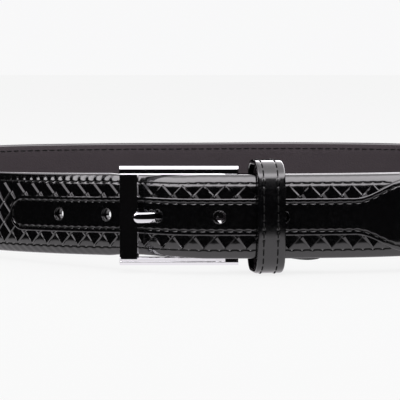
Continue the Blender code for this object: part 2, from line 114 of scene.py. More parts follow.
# The face: thick in the middle, thin at its edges
FEATHER_START = 10.0
FEATHER_DEEP = 1.5
EDGE_RADIUS = 0.7
EDGE_SEAM = 13.9
EDGE_STITCH = 4.3
STRIP_HALF = 7.9
STRIP_FLARED_HALF = 15.4
STRIP_HIGH = 0.8
STRIP_SEAM_IN = 2.2
STRIP_STITCH = 3.8
SEAM_GROOVE = 0.34
SEAM_GROOVE_WIDE = 0.30
PUCKER_DEEP = 0.08  # the face swells on both sides of its seam, between needle holes
RUCK_DEEP = 0.28  # the border gathers into slanting rucks where the strap bends
RUCK_SLANT = 1.1
RUCK_REACH = (0.75, 1.3)  # how far they spread over the upper border and over the lower one
EDGE_THREAD = 0.62
EDGE_STITCH_SHARE = 0.86  # of its pitch, which the needle holes leave to each stitch
FINE_THREAD = 0.55  # on the strip and the keeper
FINE_STITCH_SHARE = 0.84
STRIP_EDGE_RADIUS = 0.7
STRIP_EDGE_DROP = 0.45

# The weave: strips that cross at a slant, seen as diamonds
DIAMOND_LONG = 8.85
DIAMOND_HIGH = 8.97
DIAMOND_AT_X = 1.5  # one diamond is centred here
WEAVE_RELIEF = 0.72
RISING_WEDGE = 0.34
FALLING_WEDGE = 0.06
DIAMOND_POINTS = 49
WEAVE_CREASE = 12.0
WEAVE_LAPPED = (-2.4, -1.9)  # it lies flat under the strip, from here beside the strip's edge

# Keeper
KEEPER_X = 28.8
KEEPER_WIDE = 11.6
KEEPER_HIGH = 46.9
KEEPER_YAW = math.radians(6.0)
KEEPER_WALL = 2.5
KEEPER_CLEAR = 0.8
KEEPER_ROUND = 6.5
KEEPER_EDGE = 0.9
KEEPER_EDGE_DROP = 0.75
KEEPER_SEAMS = (-3.4, 2.5)
KEEPER_STITCH = 3.6
KEEPER_BOW = 2.4  # how far its front bulges between its rounded top and bottom
KEEPER_PIVOT = 5.0
KEEPER_SKEW = 0.09  # its back sits this much further to one side for each millimetre behind
STACK_FRONT = -1.35
STACK_BACK = 11.0

# Buckle
FRAME_LEFT = -33.5
FRAME_RIGHT = 15.95
FRAME_LOW = 2.9
FRAME_HIGH = 44.3
FRAME_FRONT = -1.7
FRAME_BACK = 1.1
FRONT_BAR_WIDE = 8.0
WINDOW_LOW = 6.3
WINDOW_HIGH = 40.7
OUTER_CHAMFER = 1.2
SIDE_CHAMFER = 0.75
INNER_CHAMFER = 0.7
LIP_HIGH = 0.32  # a fine lip along the upper arm, standing this far forward of its face
LIP_END_X = 10.5
LOWER_LEAN = 0.38  # the lower arm leans back this far down to a fine ledge instead
BAR_RECESS = 0.5  # the front bar leans back this far at its top
FRAME_FLAT = 3.0  # faces larger than this many square millimetres stay perfectly flat
SQUEEZE = 0.55  # how much the frame pinches each edge of the strap
LUG_LONG = 5.0
LUG_BACK = 5.0
TONGUE_LINE = [
    (12.0, 2.6), (4.0, 2.6), (-6.0, 2.6), (-12.0, 2.0), (-16.4, 0.6), (-19.2, -1.0), (-22.0, -2.6),
    (-26.6, -3.1),
]
TONGUE_WIDE = 4.4
TONGUE_THICK = 1.7
TONGUE_SAG = 0.6  # it hangs this much below the middle of its hole
EYE_RADIUS = 3.1
HEEL_RADIUS = 1.5

# Folded end
FOLD_THICK = 2.0
FOLD_CLEAR = 0.3
FLAP_END_X = 54.0
FLAP_CORNER = 5.0
DROOP_START_X = 31.0
FLAP_DROOP = 1.6  # its loose end hangs a little below the strap
SLOT_HALF_HIGH = 2.8
SLOT_RIGHT_X = 19.0
FLAP_FIRST = 26  # the fold's sections from here on lie on the flap
FOLD_SOFT = 0.45

# Studio and camera
PAPER_GLOW = 0.82
SKY_STOPS = [  # brightness against height, from straight down to straight up
    (0.0, 0.20), (0.38, 0.17), (0.405, 0.0006), (0.60, 0.0006), (0.64, 0.80),
    (0.76, 1.0), (0.87, 0.45), (1.0, 0.35),
]
SKY_TINT = (1.0, 0.965, 1.0)
SKY_STRENGTH = 5.0
SKY_LOSS = 3.4  # how much of that strength is missing beside the belt
ROOM_RAISED = 0.3
BACKDROP = (0.94, 0.94, 0.945, 1.0)
WHITE = (1.0, 1.0, 1.0, 1.0)
EYE_AWAY = 850.0
EYE_HIGH = 104.3
SENSOR_WIDE = 36.0
LENS_LONG = 185.895
HORIZON_ABOVE = 0.4475  # in widths of the view, over its middle


# -------- the curve and the flat layout


def hermite(t, a, b, slope_a, slope_b):
    """Points of the cubic from a to b that leaves and arrives with the given slopes."""
    start = (2 * t**3 - 3 * t**2 + 1) * a + (t**3 - 2 * t**2 + t) * slope_a
    return start + (3 * t**2 - 2 * t**3) * b + (t**3 - t**2) * slope_b


def walked(points):
    """The distance walked along a line at each of its points."""
    return np.concatenate([[0.0], np.cumsum(np.linalg.norm(np.diff(points, axis=0), axis=1))])


def pairs_at(at, along, pairs, period=None):
    """Pairs of numbers at the given distances, from pairs known at others."""
    return np.stack([np.interp(at, along, pairs[:, i], period=period) for i in (0, 1)], axis=-1)


def plan_samples(per_span=60):
    """Closely spaced points of the closed curve through the plan points."""
    knots = np.array(PLAN_CURVE)
    t = (np.arange(per_span) / per_span)[:, None]
    spans = []
    for i in range(len(knots)):
        a, b, c, d = (knots[(i + k - 1) % len(knots)] for k in range(4))
        ab, bc, cd = (np.linalg.norm(q - p) for p, q in ((a, b), (b, c), (c, d)))
        slope_b = bc * ((b - a) / ab * bc + (c - b) / bc * ab) / (ab + bc)
        slope_c = bc * ((c - b) / bc * cd + (d - c) / cd * bc) / (bc + cd)
        spans.append(hermite(t, b, c, slope_b, slope_c))
    points = np.concatenate(spans)
    return np.concatenate([points, points[:1]])


CURVE = plan_samples()
ALONG = walked(CURVE)
ROUND = ALONG[-1]


def square_to(step):
    """Unit vectors at right angles to some steps, to their right."""
    right = np.stack([step[..., 1], -step[..., 0]], axis=-1)
    return right / np.linalg.norm(right, axis=-1, keepdims=True)


def plan(s):
    return pairs_at(np.mod(s, ROUND), ALONG, CURVE)


def outward(s):
    return square_to(plan(np.asarray(s) + 1.0) - plan(np.asarray(s) - 1.0))


def where_front_x(x):
    """Arc length at which the front of the curve passes the given X."""
    quarter, third = len(CURVE) // 4, len(CURVE) // 3
    if x >= CURVE[0, 0]:
        return float(np.interp(x, CURVE[:quarter, 0], ALONG[:quarter]))
    return float(np.interp(x, CURVE[-third:, 0], ALONG[-third:])) - ROUND


BUCKLE_END = where_front_x(BUCKLE_END_X)
SPLIT = ROUND + where_front_x(SPLIT_X)
STRIP_END = ROUND + where_front_x(STRIP_END_X)
FLARE_START = ROUND + where_front_x(FLARE_START_X)
TIP = FLARE_START + TIP_LONG
PINCH = [ROUND + where_front_x(x) for x in (-40.0, -33.0, -12.0, 2.0)]
RUCKED = [ROUND + where_front_x(x) for x in (-52.0, -24.0)]
RUCK_START = [where_front_x(x) for x in (60.0, 110.0)]
HOLES = [
    ROUND + where_front_x(HOLE_IN_USE_X) + (number - HOLE_IN_USE) * HOLE_PITCH
    for number in range(1, HOLE_COUNT + 1)
]


def smoothstep(low, high, value):
    t = np.clip((np.asarray(value, float) - low) / (high - low), 0.0, 1.0)
    return t * t * (3 - 2 * t)


def rolled(share):
    """How far a rolled edge has dropped: nothing at 0, its whole radius from 1 on."""
    return 1.0 - np.sqrt(1.0 - np.clip(share, 0.0, 1.0) ** 2)


def lift(y):
    behind = np.maximum(0.0, y - LIFT_LEVEL_Y)
    return np.maximum(0.0, (FRONT_LIFT + LIFT_FLOOR) * np.exp(-behind / LIFT_FADE) - LIFT_FLOOR)


def inset(s):
    clear_of_tip = TIP - ROUND + 4.0
    return OVERLAP_DEPTH * (1.0 - smoothstep(clear_of_tip, clear_of_tip + OVERLAP_FADE, s))


def to_world(points):
    """Millimetres in the plan's frame to metres in the CAD frame."""
    points = np.asarray(points, float) * MM
    points[..., 0] += SHIFT[0]
    points[..., 1] += SHIFT[1]
    return points


def wrap(s, up, out):
    """Points of the strap: how far along, how far above its middle, how far out from its flat face."""
    s, up, out = np.broadcast_arrays(np.asarray(s, float), np.asarray(up, float), np.asarray(out, float))
    level = plan(s)
    height = up + HALF + lift(level[..., 1])
    level = level + outward(s) * (out - inset(s))[..., None]
    return np.concatenate([level, height[..., None]], axis=-1)


def half_width(s):
    """Half the strap's width: it narrows round the tip, and where the frame's arms pinch it."""
    s = np.asarray(s, float)
    into_tip = np.clip(s - (TIP - TIP_ROUND), 0.0, None) / TIP_ROUND
    pinched = smoothstep(PINCH[0], PINCH[1], s) * (1.0 - smoothstep(PINCH[2], PINCH[3], s))
    return HALF * np.sqrt(np.clip(1.0 - into_tip**2, 0.0006, None)) - SQUEEZE * pinched


def strip_half(s):
    """Half the centre strip's width: round at its end, flared near the tip, nothing before it starts."""
    s = np.asarray(s, float)
    flare = smoothstep(FLARE_START, FLARE_START + FLARE_LONG, s)
    half = STRIP_HALF * (1.0 - rolled(1.0 - (s - STRIP_END) / STRIP_HALF))
    half = half + (STRIP_FLARED_HALF - STRIP_HALF) * flare
    return np.minimum(half, np.maximum(half_width(s) - (HALF - STRIP_FLARED_HALF), 0.3))


# -------- surfaces, as heights over the flat


def stitch_phase(s, pitch):
    """1 where the needle goes through, 0 half way along a stitch."""
    return 0.5 + 0.5 * np.cos(2 * math.pi * np.asarray(s) / pitch)


def groove(distance, s, pitch):
    """A seam's groove, deeper at each needle hole."""
    return hump(distance, SEAM_GROOVE_WIDE) * SEAM_GROOVE * (0.2 + 0.8 * stitch_phase(s, pitch) ** 3)


def feather(out):
    """Height of the bare face over the flat: it thins away from the strap's middle."""
    return -FEATHER_DEEP * np.clip((out - FEATHER_START) / (HALF - FEATHER_START), 0.0, 1.0) ** 2


def hump(distance, reach):
    return np.exp(-((distance / reach) ** 2))


def face_rise(s, up):
    """Height of the face leather over the flat, without its weave."""
    out = np.abs(up) * HALF / half_width(s)
    rise = feather(out) - EDGE_RADIUS * rolled((out - (HALF - EDGE_RADIUS)) / EDGE_RADIUS)
    from_seam = out - EDGE_SEAM
    open_seam = 1.0 - smoothstep(EDGE_SEAM - 2.0, EDGE_SEAM - 0.5, strip_half(s))
    rise = rise - groove(from_seam, s, EDGE_STITCH) * open_seam
    pucker = hump(from_seam - 1.3, 1.3) + 0.5 * hump(from_seam + 1.2, 0.9)
    rise = rise - PUCKER_DEEP * pucker * (stitch_phase(s, EDGE_STITCH) - 0.5) * open_seam
    slant = stitch_phase(s + RUCK_SLANT * np.sign(up) * from_seam, EDGE_STITCH) - 0.5
    reach = np.where(up > 0.0, *RUCK_REACH)
    ruck = hump(from_seam - 1.3 * reach, reach) * (1.0 - smoothstep(*RUCKED, s))
    return rise - RUCK_DEEP * ruck * slant * smoothstep(*RUCK_START, s)


def strip_rise(s, up):
    """Height of the centre strip's top over the flat."""
    half = strip_half(s)
    out = np.abs(up)
    edge = (out - (half - STRIP_EDGE_RADIUS)) / STRIP_EDGE_RADIUS
    rise = feather(out) + STRIP_HIGH - STRIP_EDGE_DROP * rolled(edge)
    from_seam = out - (half - STRIP_SEAM_IN)
    rise = rise - 0.8 * groove(from_seam, s, STRIP_STITCH)
    plump = hump(from_seam - 1.1, 0.8) * (stitch_phase(s, STRIP_STITCH) - 0.5)
    return rise - 0.06 * plump


# -------- finishes


class Signal:
    """A number that changes from place to place: a socket that takes part in Python sums."""

    def __init__(self, nodes, socket):
        self.nodes = nodes
        self.socket = socket

    def math(self, operation, *values):
        return self.nodes.number("ShaderNodeMath", {"operation": operation}, dict(enumerate(values)))

    def __add__(self, other):
        return self.math("ADD", self, other)

    __radd__ = __add__

    def __sub__(self, other):
        return self.math("SUBTRACT", self, other)

    def __rsub__(self, other):
        return self.math("SUBTRACT", other, self)

    def __mul__(self, other):
        return self.math("MULTIPLY", self, other)

    def __truediv__(self, other):
        return self.math("DIVIDE", self, other)

    def at_least(self, other):
        return self.math("MAXIMUM", self, other)

    def at_most(self, other):
        return self.math("MINIMUM", self, other)

    def root(self):
        return self.math("SQRT", self)


class Nodes:
    """A node tree with a short way to add nodes, whose inputs are plain values, sockets or signals."""

    def __init__(self, tree):
        self.tree = tree

    def set_input(self, node, key, value):
        if isinstance(value, Signal):
            value = value.socket
        if isinstance(value, bpy.types.NodeSocket):
            self.tree.links.new(value, node.inputs[key])
        else:
            node.inputs[key].default_value = value

    def node(self, kind, settings=None, inputs=None):
        node = self.tree.nodes.new(kind)
        for key, value in (settings or {}).items():
            setattr(node, key, value)
        for key, value in (inputs or {}).items():
            self.set_input(node, key, value)
        return node

    def number(self, kind, settings, inputs):
        return Signal(self, self.node(kind, settings, inputs).outputs[0])

    def ranged(self, value, low, high, to_low=0.0, to_high=1.0, soft=False):
        settings = {"interpolation_type": "SMOOTHSTEP" if soft else "LINEAR"}
        inputs = {"Value": value, 1: low, 2: high, 3: to_low, 4: to_high}
        return self.number("ShaderNodeMapRange", settings, inputs)


class Finish(Nodes):
    """One material with its Principled shader."""

    def __init__(self, name, colour, roughness, metallic=0.0, **sockets):
        self.material = bpy.data.materials.new(name)
        self.material.use_nodes = True
        super().__init__(self.material.node_tree)
        self.shader = self.tree.nodes["Principled BSDF"]
        self.set_input(self.shader, "Base Color", (*colour, 1.0))
        self.set_input(self.shader, "Roughness", roughness)
        self.set_input(self.shader, "Metallic", metallic)
        for key, value in sockets.items():
            self.set_input(self.shader, key.replace("_", " ").title().replace("Ior", "IOR"), value)
        self.place = self.node("ShaderNodeTexCoord").outputs["Object"]

    def noise(self, scale, detail=3.0, roughness=0.5, stretch=(1.0, 1.0, 1.0)):
        place = self.node("ShaderNodeMapping", None, {"Vector": self.place, "Scale": stretch}).outputs[0]
        inputs = {"Vector": place, "Scale": scale, "Detail": detail, "Roughness": roughness}
        return self.number("ShaderNodeTexNoise", None, inputs)

    def cells(self, scale):
        return self.number("ShaderNodeTexVoronoi", None, {"Vector": self.place, "Scale": scale})

    def tint(self, factor, dark, light):
        """A colour between two, by a factor."""
        colours = {"Factor": factor, 6: (*dark, 1.0), 7: (*light, 1.0)}
        mix = self.node("ShaderNodeMix", {"data_type": "RGBA"}, colours)
        self.set_input(self.shader, "Base Color", mix.outputs[2])

    def rough(self, value):
        self.set_input(self.shader, "Roughness", value)

    def bump(self, height, distance):
        node = self.node("ShaderNodeBump", None, {"Height": height, "Distance": distance})
        self.set_input(self.shader, "Normal", node.outputs[0])


def patent_finish(name, waves, grain):
    """Black lacquered leather: a deep gloss, a faint roll of the lacquer and a finer grain under it."""
    finish = Finish(name, (0.002, 0.002, 0.0024), 0.08, coat_weight=1.0, coat_roughness=0.02)
    roll = finish.noise(130.0, 2.0)
    pores = finish.cells(1500.0)
    dust = finish.noise(900.0, 4.0, 0.6)
    finish.tint(finish.ranged(dust, 0.45, 0.8, 0.0, 1.0), (0.0010, 0.0010, 0.0012), (0.0030, 0.0029, 0.0033))
    finish.rough(finish.ranged(dust, 0.3, 0.8, 0.09, 0.20))
    finish.bump(roll * waves + pores * grain, 0.001)
    return finish.material


def lining_finish():
    """Warm dark grey lining leather: matt, with a fine pebbled grain and uneven dye."""
    finish = Finish("lining leather", (0.020, 0.016, 0.018), 0.62, specular_ior_level=0.25)
    cloud = finish.noise(45.0, 4.0, 0.6)
    pebble = finish.cells(900.0)
    fibre = finish.noise(1600.0, 3.0, 0.6)
    finish.tint(cloud * 0.6 + fibre * 0.4, (0.020, 0.0150, 0.0178), (0.037, 0.0285, 0.0330))
    finish.rough(finish.ranged(fibre, 0.3, 0.7, 0.52, 0.74))
    finish.bump(pebble * 0.5 + fibre * 0.35, 0.00012)
    return finish.material


def thread_finish():
    """Black waxed thread with the slant of its twist."""
    finish = Finish("waxed thread", (0.005, 0.005, 0.005), 0.38, specular_ior_level=0.08)
    strands = finish.noise(2600.0, 2.0, 0.5, (1.0, 1.0, 2.2))
    finish.tint(strands, (0.003, 0.003, 0.003), (0.009, 0.009, 0.009))
    finish.rough(finish.ranged(strands, 0.3, 0.7, 0.30, 0.52))
    finish.bump(strands, 0.00010)
    return finish.material


def chrome_finish():
    """Mirror-polished plate, with hairline wear and faint cloudiness."""
    finish = Finish("polished chrome", (0.80, 0.80, 0.82), 0.02, 1.0)
    hairs = finish.noise(500.0, 3.0, 0.7, (0.15, 1.0, 3.0))
    cloud = finish.noise(60.0, 2.0)
    finish.rough(0.02 + hairs * 0.035 + cloud * 0.02)
    finish.bump(cloud * 0.5 + hairs * 0.1, 0.00002)
    return finish.material


def board_finish():
    """Raw bonded filler board, seen only at a cut end."""
    finish = Finish("filler board", (0.10, 0.08, 0.06), 0.9)
    fibre = finish.noise(1400.0, 4.0, 0.7)
    finish.tint(fibre, (0.05, 0.04, 0.03), (0.16, 0.12, 0.09))
    finish.bump(fibre, 0.0002)
    return finish.material


FACE = patent_finish("patent face", 0.06, 0.004)
SMOOTH = patent_finish("patent strip", 0.03, 0.002)
LINING = lining_finish()
THREAD = thread_finish()
CHROME = chrome_finish()
BOARD = board_finish()


# -------- mesh helpers


def mesh_object(name, points, faces, finish, crease=40.0):
    """A piece from finished points: its faces are turned outwards and shaded smooth but for creases."""
    mesh = bpy.data.meshes.new(name)
    mesh.from_pydata([tuple(p) for p in points], [], [tuple(f) for f in faces])
    clean = bmesh.new()
    clean.from_mesh(mesh)
    bmesh.ops.remove_doubles(clean, verts=clean.verts, dist=1e-6)
    bmesh.ops.recalc_face_normals(clean, faces=clean.faces)
    clean.to_mesh(mesh)
    clean.free()
    mesh.materials.append(finish)
    mesh.shade_smooth()
    mesh.set_sharp_from_angle(angle=math.radians(crease))
    obj = bpy.data.objects.new(name, mesh)
    bpy.context.scene.collection.objects.link(obj)
    return obj


def tube_faces(rings, across, closed_along=False):
    """Faces between rings of points, each ring closed on itself."""
    i, j = np.meshgrid(np.arange(rings if closed_along else rings - 1), np.arange(across), indexing="ij")
    k = (j + 1) % across
    there = (i + 1) % rings
    quads = np.stack([i * across + j, i * across + k, there * across + k, there * across + j], axis=-1)
    faces = [tuple(q) for q in quads.reshape(-1, 4).tolist()]
    if not closed_along:
        faces.append(tuple(range(across)))
        faces.append(tuple(range((rings - 1) * across, rings * across)))
    return faces


def shifted(faces, points):
    """Faces of a part whose own points come after the given ones."""
    return [tuple(i + len(points) for i in face) for face in faces]


def strap_tube(name, places, outline, finish):
    """A closed band along the strap. outline(s) gives its (up, out) points at every place, as two arrays."""
    up, out = outline(places[:, None])
    points = to_world(wrap(places[:, None], up, out))
    rings, across = points.shape[:2]
    return mesh_object(name, points.reshape(-1, 3), tube_faces(rings, across), finish)


def finished(obj, body, replaced=()):
    """Hides the CAD nodes that a piece stands for, and attaches the piece to its body.

    A piece of the free end is attached to no body: its transform is baked into its mesh.
    """
    if replaced:
        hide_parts(*replaced)
    if body == "free_end":
        start, end = (tuple(to_world([x, 0.0, 0.0])) for x in FLEX_SPAN_X)
        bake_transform(obj)
    else:
        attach(obj, body)


def modified_mesh(obj):
    """The mesh that an object's modifiers make of it."""
    return bpy.data.meshes.new_from_object(obj.evaluated_get(bpy.context.evaluated_depsgraph_get()))


def drop(*objects):
    for obj in objects:
        bpy.data.objects.remove(obj, do_unlink=True)


def subtract(obj, cutter):
    """Cuts one closed mesh from another for good."""
    modifier = obj.modifiers.new("cut", "BOOLEAN")
    modifier.operation = "DIFFERENCE"
    modifier.object = cutter
    cut = modified_mesh(obj)
    obj.modifiers.remove(modifier)
    obj.data = cut
    cut.set_sharp_from_angle(angle=math.radians(40))


# -------- rows of repeated shapes


def row_tree():
    """Geometry nodes: one shape repeated along a path at an even pitch, turned with it."""
    tree = bpy.data.node_groups.new("evenly spaced row", "GeometryNodeTree")
    for label, kind in (("Path", "Geometry"), ("Shape", "Object"), ("Pitch", "Float")):
        tree.interface.new_socket(label, in_out="INPUT", socket_type="NodeSocket" + kind)
    tree.interface.new_socket("Row", in_out="OUTPUT", socket_type="NodeSocketGeometry")
    add = Nodes(tree).node
    start = add("NodeGroupInput").outputs
    spacing = {"Curve": start["Path"], "Length": start["Pitch"]}
    spaced = add("GeometryNodeResampleCurve", {"mode": "LENGTH"}, spacing).outputs["Curve"]
    shape = add("GeometryNodeObjectInfo", None, {"Object": start["Shape"]}).outputs["Geometry"]
    tangent = add("GeometryNodeInputTangent").outputs[0]
    turn = add("FunctionNodeAlignRotationToVector", {"axis": "X"}, {"Vector": tangent}).outputs["Rotation"]
    placing = {"Points": spaced, "Instance": shape, "Rotation": turn}
    placed = add("GeometryNodeInstanceOnPoints", None, placing).outputs["Instances"]
    real = add("GeometryNodeRealizeInstances", None, {"Geometry": placed}).outputs["Geometry"]
    add("NodeGroupOutput", None, {"Row": real})
    return tree


ROW_TREE = row_tree()


def flat_row(path, shape, pitch):
    """Points and faces of one row in the flat layout, from the tree above."""
    curve = bpy.data.curves.new("row path", "CURVE")
    curve.dimensions = "3D"
    spline = curve.splines.new("POLY")
    spline.points.add(len(path) - 1)
    for point, place in zip(spline.points, path):
        point.co = (*place, 1.0)
    row = bpy.data.objects.new("row", curve)
    bpy.context.scene.collection.objects.link(row)
    modifier = row.modifiers.new("row", "NODES")
    modifier.node_group = ROW_TREE
    values = {"Shape": shape, "Pitch": pitch}
    for item in ROW_TREE.interface.items_tree:
        if item.name in values:
            modifier[item.identifier] = values[item.name]
    mesh = modified_mesh(row)
    points = np.empty(len(mesh.vertices) * 3)
    mesh.vertices.foreach_get("co", points)
    faces = [tuple(polygon.vertices) for polygon in mesh.polygons]
    drop(row)
    bpy.data.meshes.remove(mesh)
    return points.reshape(-1, 3), faces


def rows_piece(name, rows, settle, finish, crease=50.0):
    """One piece of several flat rows, each point settled onto the strap's surface."""
    points, faces = [], []
    for row_points, row_faces in rows:
        faces += shifted(row_faces, points)
        points += row_points.tolist()
    return mesh_object(name, to_world(settle(np.array(points))), faces, finish, crease)


def stitch_shape(length, thick):
    """One stitch: a short plump run of thread that dives at both ends."""
    stations = np.array([-0.5, -0.44, -0.27, 0.0, 0.27, 0.44, 0.5])
    swell = np.array([0.35, 0.8, 1.0, 1.0, 1.0, 0.8, 0.35])
    sunk = np.array([-0.75, -0.38, -0.08, 0.0, -0.08, -0.38, -0.75])
    around = np.arange(6) * math.pi / 3
    points = []
    for x, half, dive in zip(stations * length, swell * thick / 2, thick * (0.12 + sunk)):
        points += [(x, half * math.cos(a), dive + half * math.sin(a)) for a in around]
    return mesh_object("stitch", points, tube_faces(len(stations), len(around)), THREAD)


def diamond_shape(name, slant, wedge):
    """One diamond of the weave: a strip, flat on top, that dives under its neighbours at both ends.

    At its lower end it dives over a slope as long as the wedge, which tapers towards one side.
    """
    across = [(-1.0, 0.0), (-0.86, 1.0), (-0.43, 1.0), (0.0, 1.0), (0.43, 1.0), (0.86, 1.0), (1.0, 0.0)]
    along = [(0.0, 0.0, 0.0), (0.12, 0.0, 0.42), (1.0, 0.0, 1.0), (1.0, 0.35, 1.0), (1.0, 0.7, 1.0)]
    along += [(1.0, 1.0, 1.0), (1.0, 1.17, 0.0)]
    points = []
    for down_wedge, onwards, height in along:
        for q, edge in across:
            foot = (0.12 + wedge * (1.0 - q) / 2) * down_wedge - 1.0
            p = slant * (foot + (0.82 - foot) * onwards if onwards < 1.1 else 1.0)
            points.append(((p + q) * DIAMOND_LONG / 4, slant * (p - q) * DIAMOND_HIGH / 4, height * edge))
    grid = np.arange(DIAMOND_POINTS).reshape(len(along), len(across))
    faces = np.stack([grid[:-1, :-1], grid[:-1, 1:], grid[1:, 1:], grid[1:, :-1]], axis=-1)
    rim = np.concatenate([grid[0], grid[1:, -1], grid[-1, -2::-1], grid[-2:0:-1, 0]])
    return mesh_object(name, points, [*faces.reshape(-1, 4).tolist(), rim.tolist()], THREAD)


# -------- the strap


def face_outline(s):
    """The strap's cross-section: fine across the seams and the rolled edges, flat behind."""
    share = np.concatenate([
        [0.0, 0.18, 0.36, 0.52, 0.62],
        (EDGE_SEAM + np.array([-1.9, -1.2, -0.7, -0.35, 0.0, 0.35, 0.7, 1.3, 2.0, 2.6])) / HALF,
        1.0 - EDGE_RADIUS / HALF * (1.0 - np.sin(np.radians([15, 40, 65, 90]))),
    ])
    half = half_width(s)
    front = np.concatenate([share[::-1], -share[1:]]) * half
    back_up = np.array([-1.0, -0.985, -0.95, -0.5, 0.0, 0.5, 0.95, 0.985, 1.0])
    back_out = np.array([0.558, 0.225, 0.0, 0.0, 0.0, 0.0, 0.0, 0.225, 0.558]) - STRAP_THICK
    back_out = np.broadcast_to(back_out, (len(s), len(back_out)))
    up = np.concatenate([front, back_up * half], axis=1)
    return up, np.concatenate([face_rise(s, front), back_out], axis=1)


def strip_outline(s):
    half = strip_half(s)
    inner = STRIP_SEAM_IN + np.array([3.4, 1.9, 1.1, 0.6, 0.28, 0.0, -0.28, -0.6, -1.1])
    from_edge = np.concatenate([inner, [0.8, 0.7, 0.45, 0.22, 0.07, 0.0]])
    right = np.maximum(half - from_edge, half * 0.02 * np.arange(1, 16))
    front = np.concatenate([right[:, ::-1], np.zeros_like(half), -right], axis=1)
    sunk = feather(half) - 0.25
    rise = np.concatenate([strip_rise(s, front), sunk, sunk], axis=1)
    return np.concatenate([front, -half, half], axis=1), rise


def hole_ring(number, s, radius, count, out):
    """Points round one hole at one height: a circle, or the used hole's oblong that leans with the tongue."""
    angle = (np.arange(count) + 0.5) * 2 * math.pi / count
    along, up = s + radius * np.cos(angle), radius * np.sin(angle)
    if number == HOLE_IN_USE:
        along = along + np.sign(np.cos(angle)) * HOLE_STRETCH / 2 + HOLE_SHIFT - HOLE_SLANT * out
    return list(to_world(wrap(along, up, out)))


def hole_cutters():
    """Closed punches through the strap."""
    points, faces = [], []
    for number, s in enumerate(HOLES, start=1):
        faces += shifted(tube_faces(2, PUNCH_SIDES), points)
        for out in (-STRAP_THICK - 1.6, 2.6):
            points += hole_ring(number, s, HOLE_RADIUS, PUNCH_SIDES, out)
    return mesh_object("punches", points, faces, THREAD)


def hole_lips():
    """The rolled lip and glossy wall of each punched hole."""
    rim = [(0.30, -0.05), (0.22, 0.012), (0.10, 0.014), (0.0, -0.05), (-0.08, -0.20), (-0.12, -0.9)]
    back = [(0.14, -4.1), (0.16, -2.4), (0.16, -0.9), (0.3, -0.3)]
    points, faces = [], []
    for number, s in enumerate(HOLES, start=1):
        closing = 0.0 if number == HOLE_IN_USE else HOLE_CLOSING
        wall = [(-0.12 - closing * share, -0.9 - 3.1 * share) for share in (0.35, 0.7, 1.0)]
        profile = rim + wall + back
        faces += shifted(tube_faces(len(profile), LIP_SIDES, closed_along=True), points)
        for grow, out in profile:
            points += hole_ring(number, s, HOLE_RADIUS + grow, LIP_SIDES, STRIP_HIGH + out)
    return mesh_object("hole_lips", points, faces, SMOOTH, 60.0)


def strap_places(start, end, pitch, per_stitch):
    """Places along the strap on a grid tied to its stitches."""
    step = pitch / per_stitch
    inner = np.arange(math.ceil(start / step + 0.01), math.floor(end / step - 0.01) + 1) * step
    return np.concatenate([[start], inner, [end]])


def tip_places(start):
    shares = np.sin(np.linspace(0.0, math.pi / 2, 26))
    straight = strap_places(start, TIP - TIP_ROUND, EDGE_STITCH, 5)
    return np.concatenate([straight, TIP - TIP_ROUND + TIP_ROUND * shares[1:]])


def lining_outline(s):
    share = np.array([-0.945, -0.93, -0.6, 0.0, 0.6, 0.93, 0.945])
    half = half_width(s)
    up = np.concatenate([share * half, share[::-1] * half], axis=1)
    low = np.broadcast_to(-STRAP_THICK - np.array([0.0, 0.16, 0.2, 0.2, 0.2, 0.16, 0.0]), (len(s), 7))
    high = np.broadcast_to(np.full(7, -STRAP_THICK + 0.3), (len(s), 7))
    return up, np.concatenate([low, high], axis=1)


def strap_layers():
    """The face, the lining and the centre strip, with the holes punched through them."""
    punches = hole_cutters()
    tip = tip_places(SPLIT)
    face = strap_places(BUCKLE_END, SPLIT, EDGE_STITCH, 5)
    lining = strap_places(BUCKLE_END, SPLIT, 4.0, 1)
    round_end = STRIP_END + STRIP_HALF * (1.0 - np.cos(np.linspace(0.03, math.pi / 2, 18)))
    strip = np.concatenate([round_end, strap_places(round_end[-1] + 0.3, SPLIT, STRIP_STITCH, 5)])
    for name, places, outline, finish, body, node in (
        ("woven_face", face, face_outline, FACE, "belt", "face_leather"),
        ("free_end_face", tip, face_outline, FACE, "free_end", "tip_face_leather"),
        ("strap_lining", lining, lining_outline, LINING, "belt", "lining"),
        ("free_end_lining", tip, lining_outline, LINING, "free_end", "tip_lining"),
        ("smooth_strip", strip, strip_outline, SMOOTH, "belt", "centre_strip"),
        ("free_end_strip", tip[tip < TIP - 1.6], strip_outline, SMOOTH, "free_end", "tip_centre_strip"),
    ):
        layer = strap_tube(name, places, outline, finish)
        subtract(layer, punches)
        finished(layer, body, [node])
    finished(hole_lips(), "belt")
    drop(punches)


def clear_of_strip(points, faces):
    """The diamonds of a row that show outside the strip, each of them whole."""
    s, up = points.T[:2]
    shown = np.abs(up) > np.where(s < STRIP_END, -1.0, strip_half(s))
    kept = np.repeat(shown.reshape(-1, DIAMOND_POINTS).any(axis=1), DIAMOND_POINTS)
    renumbered = np.cumsum(kept) - 1
    return points[kept], [tuple(renumbered[list(face)].tolist()) for face in faces if kept[face[0]]]


